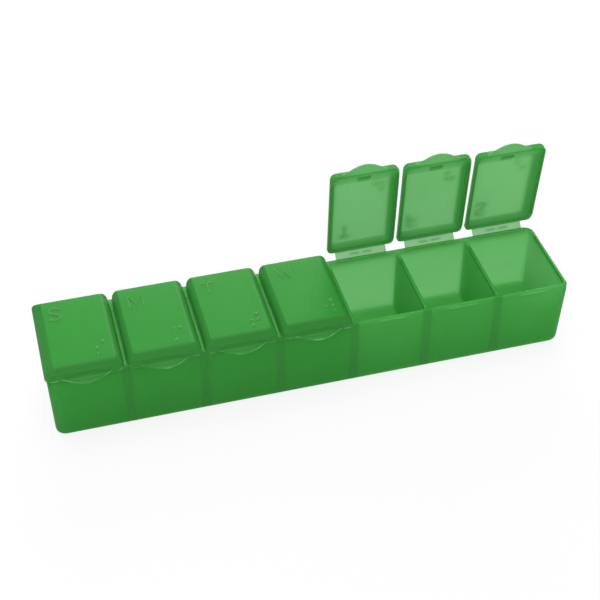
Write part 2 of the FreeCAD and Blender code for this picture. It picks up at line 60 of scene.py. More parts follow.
camera_data = bpy.data.cameras.new("camera")
camera_data.sensor_width = 36.0
camera_data.lens = 80.48
camera_data.clip_start = 0.01
camera_data.clip_end = 20.0
camera = bpy.data.objects.new("camera", camera_data)
bpy.context.scene.collection.objects.link(camera)
bpy.context.scene.camera = camera
camera_right = Vector((0.965160, -0.261649, -0.002473))
camera_up = Vector((0.173676, 0.633523, 0.753979))
camera_back = Vector((-0.195712, -0.728140, 0.656893))
camera_place = Vector((-0.075930, -0.277785, 0.272970))
camera_turn = Matrix((camera_right, camera_up, camera_back)).transposed().to_4x4()
camera.matrix_world = Matrix.Translation(camera_place) @ camera_turn


# ------------------------------------------------------------------ studio
# A white table and a white room, lit evenly from all round, with a large soft lamp
# above and a second one behind that shines through the frosted plastic.

class Socket:
    """A shader socket that is added, taken away and scaled as a plain number is."""

    def __init__(self, tree, socket):
        self.tree = tree
        self.socket = socket

    def reckon(self, operation, *others):
        return node(self.tree, "ShaderNodeMath", {"operation": operation},
                    dict(enumerate((self, *others))))

    def __add__(self, other):
        return self.reckon("ADD", other)

    def __mul__(self, other):
        return self.reckon("MULTIPLY", other)

    def __sub__(self, other):
        return self.reckon("SUBTRACT", other)

    def __rsub__(self, other):
        return node(self.tree, "ShaderNodeMath", {"operation": "SUBTRACT"}, {0: other, 1: self})

    __radd__ = __add__

    def rise(self, low, high):
        """0 below low, 1 above high, smooth between; turned round if low is above high."""
        return node(self.tree, "ShaderNodeMapRange", {"interpolation_type": "SMOOTHSTEP"},
                    {"Value": self, "From Min": low, "From Max": high})


def node(tree, kind, settings=None, inputs=None, output=0):
    """One new node: its settings first, then the values or links of its sockets."""
    made = tree.nodes.new(kind)
    for name, value in (settings or {}).items():
        setattr(made, name, value)
    for name, value in (inputs or {}).items():
        if isinstance(value, Socket):
            tree.links.new(value.socket, made.inputs[name])
        else:
            made.inputs[name].default_value = value
    return Socket(tree, made.outputs[output])


def mixed(tree, factor, first, second):
    """A shader that turns from the first into the second as the factor rises."""
    return node(tree, "ShaderNodeMixShader", inputs={0: factor, 1: first, 2: second})


def new_material(name):
    material = bpy.data.materials.new(name)
    material.use_nodes = True
    material.node_tree.nodes.clear()
    return material, material.node_tree


def end_with(tree, shader, kind="ShaderNodeOutputMaterial"):
    tree.links.new(shader.socket, tree.nodes.new(kind).inputs["Surface"])


def seen_white(tree):
    """1 for what the camera sees straight on, mirrored in a piece or through it."""
    path = tree.nodes.new("ShaderNodeLightPath")
    seen = Socket(tree, path.outputs["Is Camera Ray"])
    for ray in ("Is Glossy Ray", "Is Transmission Ray"):
        seen = seen.reckon("MAXIMUM", Socket(tree, path.outputs[ray]))
    return seen


WHITE, TABLE_COLOUR = (1.0, 1.0, 1.0, 1.0), (0.92, 0.92, 0.92, 1.0)
TABLE_SIZE = 6.0
TABLE_CLEAR = 0.0001          # the table's top lies this far under the box
TABLE_WHITE = 0.87            # how much of the table's own light and shade is washed out
ROOM_LEVEL = 0.59             # the room's light on the box; the room itself is seen white

table_mesh = bpy.data.meshes.new("table")
bm = bmesh.new()
bmesh.ops.create_grid(bm, x_segments=2, y_segments=2, size=TABLE_SIZE / 2)
bmesh.ops.translate(bm, verts=bm.verts, vec=(0, 0, -TABLE_CLEAR))
bm.to_mesh(table_mesh)
bm.free()
table = bpy.data.objects.new("table", table_mesh)
bpy.context.scene.collection.objects.link(table)
table_paint, tree = new_material("table_paint")
seen = seen_white(tree)
lit_table = node(tree, "ShaderNodeBsdfDiffuse", inputs={"Color": TABLE_COLOUR})
white_table = node(tree, "ShaderNodeEmission", inputs={"Color": WHITE, "Strength": 1.0})
end_with(tree, mixed(tree, seen * TABLE_WHITE, lit_table, white_table))
table_mesh.materials.append(table_paint)

room = bpy.data.worlds.new("room")
room.use_nodes = True
tree = room.node_tree
tree.nodes.clear()
seen = seen_white(tree)
room_light = node(tree, "ShaderNodeBackground", inputs={"Color": WHITE, "Strength": ROOM_LEVEL})
room_white = node(tree, "ShaderNodeBackground", inputs={"Color": WHITE, "Strength": 1.0})
end_with(tree, mixed(tree, seen, room_light, room_white), "ShaderNodeOutputWorld")
bpy.context.scene.world = room
bpy.context.scene.view_settings.view_transform = "Standard"


def hang_lamp(name, place, power, size):
    """A square soft lamp that faces the middle of the box."""
    data = bpy.data.lights.new(name, "AREA")
    data.energy = power
    data.size = size
    lamp = bpy.data.objects.new(name, data)
    lamp.location = place
    lamp.rotation_euler = (-Vector(place)).to_track_quat("-Z", "Y").to_euler()
    bpy.context.scene.collection.objects.link(lamp)


hang_lamp("lamp_above", (-0.1, 0.1, 0.95), 4.0, 0.6)
hang_lamp("lamp_behind", (0.2, 0.85, 0.35), 6.0, 0.6)


# ------------------------------------------------------------------ tray
# One injection-moulded row of seven compartments in frosted green polypropylene, with
# thin walls that widen upwards, a set-back band under the rim for the lids' skirts, and
# a shallow crescent bead before each compartment that a lid snaps over.

MM = 0.001
DAYS = ["sunday", "monday", "tuesday", "wednesday", "thursday", "friday", "saturday"]
LENGTH, DEPTH, RIM = 150.0, 28.5, 22.7
END, FRONT, BACK = LENGTH / 2, -DEPTH / 2, DEPTH / 2
LAST = len(DAYS) - 1
PITCH = LENGTH / len(DAYS)
MIDDLES = [(index + 0.5) * PITCH - END for index in range(len(DAYS))]
WALL, DIVIDER, FLOOR = 0.95, 1.0, 1.3
DRAFT = 0.4                   # the foot is this much narrower on every side
STEP_DEPTH = 0.12             # the band under the rim is set back by this
FRONT_CORNER, FOOT_CORNER, BACK_CORNER = 1.2, 2.5, 2.8
RIM_EDGE, WELL_EDGE = 0.2, 0.29   # small rounds along the rim, outside and in the wells
BASE_EDGE = 2.1
WELL_CORNER, WELL_FLOOR_EDGE, WELL_DRAFT = 1.0, 1.0, 0.12
BEAD_HALF, BEAD_PROUD = 5.2, 0.38
CORNER_STEPS, WELL_STEPS, BASE_STEPS = 8, 6, 8
FRONT_CUTS = 299              # points along the front wall, so that the beads run smoothly
NEAR = 1e-4                   # points no further apart than this are one
ON_FRONT = 0.01               # points no further than this behind the front line are on it
SHARP = 38.0                  # edges up to this many degrees are shaded smooth

# Down the outside: (height, how proud the bead is, depth of the green); a depth below 0
# is a painted highlight along an edge.
BEAD_PROFILE = [
    (22.42, 0.0, 0.2), (22.3, 0.75, -0.3), (22.15, 1.0, 0.1), (22.0, 0.75, 0.3),
    (21.86, 0.25, -0.8), (21.72, 0.05, -0.8), (21.6, 0.0, 0.2),
]
# (height, share of the set-back that is left), then (height, depth of the green).
STEP_PROFILE = [(21.1, 1.0), (21.0, 0.8), (20.85, 0.35), (20.7, 0.05)]
# The outer wall's green deepens towards the foot as painted shade, except on the hinge side.
WALL_PROFILE = [(20.5, 0.2), (16.0, 0.26), (11.0, 0.38), (6.0, 0.55), (BASE_EDGE + 0.2, 0.65)]


def share(value, start, stop):
    """0 at start, 1 at stop, straight between and level beyond."""
    return min(1.0, max(0.0, (value - start) / (stop - start)))


def rounded_ring(bm, limits, front_radius, back_radius, steps, front_cuts=0, side_cuts=0):
    """A ring of points round a level (left, right, front, back) with rounded corners and,
    if asked for, finely cut front and side edges."""
    left, right, front, back = limits
    corners = [bm.verts.new((x, y, 0)) for x, y in
               ((left, front), (right, front), (right, back), (left, back))]
    face = bm.faces.new(corners)
    for pair, radius in ((corners[:2], front_radius), (corners[2:], back_radius)):
        bmesh.ops.bevel(bm, geom=pair, affect="VERTICES", offset_type="OFFSET", offset=radius,
                        segments=steps, profile=0.5, material=-1)
    level = (f for f in bm.faces if len(f.verts) > 4 and abs(f.verts[0].co.z) < NEAR)
    face = max((f for f in level if all(left - NEAR < v.co.x < right + NEAR for v in f.verts)),
               key=lambda f: f.index)
    for axis, line, cuts in ((1, front, front_cuts), (0, left, side_cuts), (0, right, side_cuts)):
        if cuts:
            on_line = [e for e in face.edges if all(abs(v.co[axis] - line) < NEAR for v in e.verts)]
            longest = max(on_line, key=lambda e: e.calc_length())
            bmesh.ops.subdivide_edges(bm, edges=[longest], cuts=cuts)
    ring = list(face.verts)
    bmesh.ops.delete(bm, geom=[face], context="FACES_ONLY")
    return ring


def note_plan(bm, ring):
    """Write each point's place in the outline on the point, where new rings inherit it."""
    plan = bm.verts.layers.float_vector["plan"]
    for vert in ring:
        vert[plan] = vert.co


def settle(bm, ring, place, thickness_and_painted_light):
    """Put a ring's points where place says, and write the green's depth there: how thick the moulding is,
    with painted shade and painted highlights.
    """
    plan, depth = bm.verts.layers.float_vector["plan"], bm.verts.layers.float["thickness_and_painted_light"]
    for vert in ring:
        vert.co = place(vert[plan])
        vert[depth] = thickness_and_painted_light(vert[plan]) if callable(thickness_and_painted_light) else thickness_and_painted_light
    return ring


def free_edges(ring):
    """The edges of a ring that have no face yet, or only one, in the ring's own order."""
    inside = set(ring)
    return list(dict.fromkeys(e for v in ring for e in v.link_edges
                              if e.other_vert(v) in inside and (e.is_wire or e.is_boundary)))


def next_ring(bm, ring, place, thickness_and_painted_light):
    """Draw a ring of edges out into another one, and settle its points."""
    made = bmesh.ops.extrude_edge_only(bm, edges=free_edges(ring))["geom"]
    fresh = [g for g in made if isinstance(g, bmesh.types.BMVert)]
    return settle(bm, fresh, place, thickness_and_painted_light)


def close_ring(bm, ring):
    """Cap a ring with one level face."""
    bmesh.ops.edgeloop_fill(bm, edges=free_edges(ring))


def squeezed(outline, limits):
    """A place function that stretches an outline's (left, right, front, back) to new limits."""
    def at(point):
        x = (point.x - outline[0]) / (outline[1] - outline[0])
        y = (point.y - outline[2]) / (outline[3] - outline[2])
        return limits[0] + x * (limits[1] - limits[0]), limits[2] + y * (limits[3] - limits[2])
    return at


def drawn_in(limits, inset):
    """The same limits drawn in on every side."""
    left, right, front, back = limits
    return left + inset, right - inset, front + inset, back - inset


def cornered(point, limits, made, wanted):
    """A point of an outline whose corner rounds of one radius are turned to a smaller one."""
    left, right, front, back = limits
    x_line, x_sign = (right, 1) if point.x > (left + right) / 2 else (left, -1)
    y_line, y_sign = (back, 1) if point.y > (front + back) / 2 else (front, -1)
    x_in, y_in = (x_line - point.x) * x_sign, (y_line - point.y) * y_sign
    if x_in < made and y_in < made:
        return Vector((x_line - x_sign * (wanted + (x_in - made) * wanted / made),
                       y_line - y_sign * (wanted + (y_in - made) * wanted / made), 0))
    return point


def quarter(steps):
    """Points of a quarter round as (share across, share down), from flat to steep."""
    return [(1 - sin(pi / 2 * k / steps), 1 - cos(pi / 2 * k / steps)) for k in range(steps + 1)]


def make_piece(bm, name, material):
    """Turn a finished mesh in millimetres into a smooth-shaded piece in metres."""
    bmesh.ops.recalc_face_normals(bm, faces=bm.faces)
    bmesh.ops.scale(bm, vec=(MM, MM, MM), verts=bm.verts)
    mesh = bpy.data.meshes.new(name)
    bm.to_mesh(mesh)
    bm.free()
    mesh.shade_smooth()
    mesh.set_sharp_from_angle(angle=radians(SHARP))
    piece = bpy.data.objects.new(name, mesh)
    bpy.context.scene.collection.objects.link(piece)
    piece.data.materials.append(material)
    normals = piece.modifiers.new("even_normals", "WEIGHTED_NORMAL")
    normals.keep_sharp = True
    return piece


def new_bmesh():
    """An empty mesh whose points carry their place in the outline and the green's depth, painted shade and
    highlights included.
    """
    bm = bmesh.new()
    bm.verts.layers.float_vector.new("plan")
    bm.verts.layers.float.new("thickness_and_painted_light")
    return bm


# The deep colours stand for thick moulding and for painted shade alike.
SKIN_THIN, SKIN_THICK_AND_SHADED = (0.037, 0.4, 0.042), (0.04, 0.285, 0.043)
GLOW_THIN, GLOW_THICK_AND_SHADED = (0.53, 0.80, 0.535), (0.12, 0.48, 0.13)
# The pale colour of painted highlights along edges.
PAINTED_HIGHLIGHT_COLOUR = (0.55, 0.95, 0.56)
SATIN = {"IOR": 1.49, "Specular IOR Level": 0.22}


def noise(tree, place, scale, detail):
    return node(tree, "ShaderNodeTexNoise",
                inputs={"Vector": place, "Scale": scale, "Detail": detail})


def blended_colour(tree, factor, first, second):
    """A colour between two, of which the first may be a socket."""
    first = first if isinstance(first, Socket) else (*first, 1.0)
    return node(tree, "ShaderNodeMix", {"data_type": "RGBA"},
                {0: factor, 6: first, 7: (*second, 1.0)}, output=2)


def green_plastic(name, skin_thin, skin_thick_and_shaded, glow_thin, glow_thick_and_shaded, through, rough,
                  painted_wall_shade=False):
    """Frosted polypropylene: a satin skin over a body that lets soft light through, more of
    it and paler where the moulding is thin, with faint clouding and fine mould grain. The
    green's depth also carries painted shade, and below 0 painted highlights. With the wall
    flag set, painted shade darkens the front wall over each divider behind it, and the
    dividers' tops under the seams between the lids."""
    material, tree = new_material(name)
    place = node(tree, "ShaderNodeTexCoord", output="Object")
    thickness_and_painted_light = node(tree, "ShaderNodeAttribute", {"attribute_name": "thickness_and_painted_light"}, output="Fac")
    cloud = noise(tree, place, 90.0, 3.0)
    grain = noise(tree, place, 2600.0, 2.0)
    depth = thickness_and_painted_light + (cloud - 0.5) * 0.15
    if painted_wall_shade:
        axes = node(tree, "ShaderNodeSeparateXYZ", inputs={0: place}).socket.node
        x, y, z = (Socket(tree, axes.outputs[k]) for k in range(3))
        from_divider = (x + END * MM).reckon("PINGPONG", PITCH * MM / 2)
        # Painted shade: a darker band on the front wall over each divider behind it.
        painted_divider_shade = from_divider.rise(0.0019, 0.0006) * y.rise(-0.0125, -0.0135)
        # Painted shade on the dividers' tops, under the seams between the lids.
        painted_seam_shade = z.rise(0.0218, 0.0224) * y.rise(0.0105, 0.0075) * y.rise(-0.0137, -0.0127)
        depth = depth + painted_divider_shade * 0.5 + painted_seam_shade * 1.4
    # Painted highlight: where the green's depth is below 0, a pale colour is mixed in, in patches, and less
    # light goes through.
    patches = noise(tree, place, 320.0, 1.0)
    painted_highlight = (0.0 - thickness_and_painted_light).reckon("MAXIMUM", 0.0) * patches.rise(0.44, 0.62)
    body = blended_colour(tree, depth, skin_thin, skin_thick_and_shaded)
    bump = node(tree, "ShaderNodeBump",
                inputs={"Height": grain, "Strength": 0.08, "Distance": 0.0002})
    skin = node(tree, "ShaderNodeBsdfPrincipled", inputs={
        "Base Color": blended_colour(tree, painted_highlight, body, PAINTED_HIGHLIGHT_COLOUR),
        "Roughness": rough + (cloud - 0.5) * 0.12, "Normal": bump, **SATIN})
    pale_glow, deep_glow = (
        node(tree, "ShaderNodeBsdfTranslucent", inputs={"Color": (*colour, 1.0), "Normal": bump})
        for colour in (glow_thin, glow_thick_and_shaded))
    glow = mixed(tree, depth, pale_glow, deep_glow)
    end_with(tree, mixed(tree, through - depth * 0.2 - painted_highlight * 0.45, skin, glow))
    return material


tray_green = green_plastic(
    "tray_green", skin_thin=(0.083, 0.6, 0.088), skin_thick_and_shaded=(0.056, 0.36, 0.062),
    glow_thin=(0.455, 0.745, 0.46), glow_thick_and_shaded=GLOW_THICK_AND_SHADED, through=0.635, rough=0.40,
    painted_wall_shade=True)

bm = new_bmesh()
limits = (-END, END, FRONT, BACK)
ring = rounded_ring(bm, limits, FRONT_CORNER, BACK_CORNER, CORNER_STEPS, front_cuts=FRONT_CUTS)
note_plan(bm, ring)


def from_bead(point):
    """0 at the middle of the nearest catch bead, 1 at its ends."""
    return min(abs(point.x - middle) for middle in MIDDLES) / BEAD_HALF


def wall_place(inset, height, set_back=0.0, proud=0.0):
    """Where a point of the tray's outline goes at one height of the outer wall. The front
    corners grow rounder towards the foot, and proud raises the catch beads."""
    at = squeezed(limits, (-END + inset + set_back, END - inset - set_back,
                           FRONT + inset + set_back, BACK - inset))
    corner = FRONT_CORNER + (FOOT_CORNER - FRONT_CORNER) * (1 - height / RIM)

    def place(point):
        side = 1 if point.x > 0 else -1
        moved = Vector(point)
        if point.y < FRONT + FRONT_CORNER:
            if abs(point.x) > END - FRONT_CORNER:
                grow = corner / FRONT_CORNER
                moved.x = side * (END - corner + (abs(point.x) - END + FRONT_CORNER) * grow)
                moved.y = FRONT + corner + (point.y - FRONT - FRONT_CORNER) * grow
            else:
                moved.x *= (END - corner) / (END - FRONT_CORNER)
        x, y = at(moved)
        if proud and point.y < FRONT + ON_FRONT:
            y -= proud * BEAD_PROUD * max(0.0, 1 - from_bead(point) ** 2)
        return Vector((x, y, height))
    return place


def wall_depth(front, back):
    """How deep the green is: front on the front wall, back on the hinge side."""
    return lambda point: front + (back - front) * share(point.y, BACK - 3, BACK)


def bead_depth(depth):
    """Painted highlights lie along the middle of each bead only."""
    def thickness_and_painted_light(point):
        if point.y > FRONT + 1:
            return 0.5
        return depth if from_bead(point) < 0.8 else 0.22
    return thickness_and_painted_light


def step_depth(point):
    return 0.22 if point.y < FRONT + 1 else 0.3


def rim_painted_shade(point):
    """Painted shade deepens the rim in the gaps between the lids, but not along the front; in front of the
    hinges it fades to pale, painted light from behind.
    """
    return 0.25 if point.y < FRONT + 1.5 else 1.0 - 0.85 * share(point.y, BACK - 5, BACK - 2)


settle(bm, ring, wall_place(RIM_EDGE, RIM, STEP_DEPTH), wall_depth(0.2, 1.1))
for across, down in quarter(3)[1:]:
    ring = next_ring(bm, ring, wall_place(RIM_EDGE * across, RIM - RIM_EDGE * down, STEP_DEPTH),
                     wall_depth(0.2, 1.0))
for height, proud, depth in BEAD_PROFILE:
    ring = next_ring(bm, ring, wall_place(0.0, height, STEP_DEPTH, proud), bead_depth(depth))
for height, set_back in STEP_PROFILE:
    ring = next_ring(bm, ring, wall_place(0.0, height, set_back * STEP_DEPTH), step_depth)
for height, depth in WALL_PROFILE:
    inset = DRAFT * (1 - height / RIM)
    ring = next_ring(bm, ring, wall_place(inset, height), wall_depth(depth, 0.0))
for step in range(BASE_STEPS + 1):
    turn = pi / 2 * step / BASE_STEPS
    inset, height = DRAFT + BASE_EDGE * (1 - cos(turn)), BASE_EDGE * (1 - sin(turn))
    ring = next_ring(bm, ring, wall_place(inset, height), 0.6)
close_ring(bm, ring)


def well_place(well, inset, height):
    """A level ring of a well, drawn in from its walls by inset."""
    at = squeezed(well, drawn_in(well, inset))
    return lambda point: Vector((*at(point), height))


# Down each well: (inset, height, depth of the green).
WELL_PROFILE = [(-WELL_EDGE * across, RIM - WELL_EDGE * down, rim_painted_shade)
                for across, down in quarter(4)]
WELL_PROFILE += [(0.0, RIM - 1.0, wall_depth(0.1, 0.0)), (WELL_DRAFT / 2, 12.0, 0.0),
                 (WELL_DRAFT, FLOOR + WELL_FLOOR_EDGE, 0.0)]
WELL_PROFILE += [(WELL_DRAFT + WELL_FLOOR_EDGE * down, FLOOR + WELL_FLOOR_EDGE * across, 0.0)
                 for across, down in quarter(5)[1:]]

for index in range(len(DAYS)):
    left = WALL - END if index == 0 else index * PITCH - END + DIVIDER / 2
    right = END - WALL if index == LAST else (index + 1) * PITCH - END - DIVIDER / 2
    well = (left, right, FRONT + WALL, BACK - WALL)
    ring = rounded_ring(bm, well, WELL_CORNER, WELL_CORNER, WELL_STEPS)
    note_plan(bm, ring)
    for number, (inset, height, thickness_and_painted_light) in enumerate(WELL_PROFILE):
        put = settle if number == 0 else next_ring
        ring = put(bm, ring, well_place(well, inset, height), thickness_and_painted_light)
    close_ring(bm, ring)

# The rim's top closes the open edges between the outside and the wells.
open_edges = [edge for edge in bm.edges if edge.is_boundary]
bmesh.ops.triangle_fill(bm, edges=open_edges, use_beauty=True, use_dissolve=False,
                        normal=(0, 0, 1))
tray = make_piece(bm, "tray_moulding", tray_green)
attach(tray, "tray")
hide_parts("tray")


# ------------------------------------------------------------------ lids
# Seven shallow caps of the same moulding. Each has an upright band, sloping sides up to
# a flat plate, a skirt that hangs over the tray's front, a rib inside that skirt and a
# dished thumb tab. They snap on the tray's beads and turn back on their hinge films.

LID_GAP = 1.1
LID_FRONT = FRONT - 0.75
END_OVER = 0.45
LID_CORNER, HINGE_CORNER = 1.8, 1.5
END_HINGE_CORNER = 0.6        # outer hinge corner of the first lid
LID_FRONT_CUTS, LID_SIDE_CUTS = 71, 24
SEAT = RIM + 0.1              # the lid's side walls rest just over the rim
HANG, SEAM_LIP = 0.4, 0.36    # the skirt and the seam lips hang this far below the seat
SEAM_LIP_RUN = (12.7, 12.1)   # the lips set in between these distances from the middle line
FRONT_SKIRT_RUN = (FRONT, FRONT - 0.24)
END_SKIRT_RUN = (END - 0.12, END - 0.06)
END_SKIRT_BACK = (BACK - 2.0, BACK - 2.2)
BAND_FOOT, SIDE_BAND_TOP, FRONT_BAND_TOP = 22.4, 23.28, 24.1
SKIRT_WALL, LID_WALL = 0.5, 0.95
END_SLOPE = 1.55              # the end lids slope this much further in over the ends
RIB_WIDTH, RIB_HEIGHT = 4.0, 0.25
RIB_STEPS = [(0.1, 0), (0.14, 1), (0.56, 1), (0.6, 0)]   # up the slope, and raised or not
TAB_HALF, TAB_REACH = 6.7, 2.95
TAB_CURVE = 1.35              # above 1, the tab leaves the lid in a double curve
HINGE_Y = BACK + 1.4
OPEN_ANGLES = {"thursday": 85.7, "friday": 84.7, "saturday": 83.5}

# From the foot up: (reach into the tab, height of the tab, height of the band beside it,
# depth of the green on a shut lid's tab: painted shade on its top, and below 0 painted
# highlights along its lip).
TAB_PROFILE = [
    (0.0, 22.46, 22.46, -0.7), (0.9, 22.46, 22.52, 0.8), (0.97, 22.50, 22.58, 0.3),
    (1.0, 22.60, 22.66, 0.2), (1.0, 22.74, 22.76, -0.8), (0.97, 22.90, 22.88, -0.3),
    (0.90, 22.99, 22.98, 0.7), (0.78, 23.0, 23.08, 0.85), (0.66, 22.96, 23.2, 0.9),
    (0.42, 23.0, 23.3, 0.9), (0.24, 23.16, 23.4, 0.85), (0.12, 23.42, 23.55, 0.8),
    (0.05, 23.76, 23.8, 0.7), (0.0, FRONT_BAND_TOP, FRONT_BAND_TOP, 0.65),
]
# Outside, upwards: (inset, height) at the left, right, front and hinge sides, and depth of
# the green: thicker moulding and painted shade on the sloping sides, none on the flat plate.
CROWN_PROFILE = [
    ((0.00, 23.30), (0.00, 23.30), (0.00, 24.16), (0.00, 24.90), 0.6),
    ((0.05, 23.62), (0.05, 23.62), (0.03, 24.26), (0.01, 25.10), 0.7),
    ((0.17, 23.98), (0.17, 23.98), (0.12, 24.38), (0.03, 25.25), 0.85),
    ((0.38, 24.34), (0.38, 24.34), (0.30, 24.50), (0.06, 25.38), 0.95),
    ((0.68, 24.72), (0.66, 24.70), (0.70, 24.76), (0.10, 25.47), 1.0),
    ((1.05, 25.10), (1.00, 25.05), (1.15, 25.06), (0.15, 25.55), 1.0),
    ((1.40, 25.40), (1.30, 25.32), (1.52, 25.31), (0.21, 25.61), 1.0),
    ((1.64, 25.60), (1.52, 25.49), (1.82, 25.50), (0.27, 25.655), 0.9),
    ((1.74, 25.665), (1.74, 25.60), (2.06, 25.61), (0.32, 25.68), 0.5),
    ((1.82, 25.69), (2.00, 25.67), (2.30, 25.675), (0.37, 25.695), 0.15),
    ((1.95, 25.70), (2.35, 25.70), (2.60, 25.70), (0.45, 25.70), 0.0),
]
# Inside, upwards: the same, with the insets counted from the inner face of the walls. The
# catch rib lies between the second ring and the third.
HOLLOW_PROFILE = [
    ((0.00, 22.95), (0.00, 22.95), (0.05, 22.85), (0.00, 22.95), 0.35),
    ((0.12, 23.30), (0.12, 23.30), (0.80, 23.15), (0.15, 23.30), 0.25),
    ((0.98, 24.80), (0.90, 24.60), (4.15, 24.82), (1.12, 24.80), 0.1),
    ((1.06, 24.89), (1.25, 24.82), (4.32, 24.88), (1.22, 24.88), 0.05),
    ((1.16, 24.90), (1.90, 24.90), (4.45, 24.90), (1.34, 24.90), 0.0),
]


def lid_limits(index):
    """(left, right, front, back) of a lid, at its widest."""
    left = -END - END_OVER if index == 0 else index * PITCH - END + LID_GAP / 2
    right = END + END_OVER if index == LAST else (index + 1) * PITCH - END - LID_GAP / 2
    return left, right, LID_FRONT, BACK


def between(low, high, along):
    """A profile row part of the way from one row to the next."""
    return [tuple(a + (b - a) * along for a, b in zip(*pair)) for pair in zip(low, high)]


def swing(bm, day):
    """Turn a lid's mesh back about its hinge to where it stands."""
    if day in OPEN_ANGLES:
        bmesh.ops.rotate(bm, verts=bm.verts, cent=(0, HINGE_Y, RIM),
                         matrix=Matrix.Rotation(-radians(OPEN_ANGLES[day]), 3, "X"))


lid_green = green_plastic("lid_green", skin_thin=SKIN_THIN, skin_thick_and_shaded=SKIN_THICK_AND_SHADED,
                          glow_thin=GLOW_THIN, glow_thick_and_shaded=GLOW_THICK_AND_SHADED, through=0.55, rough=0.38)

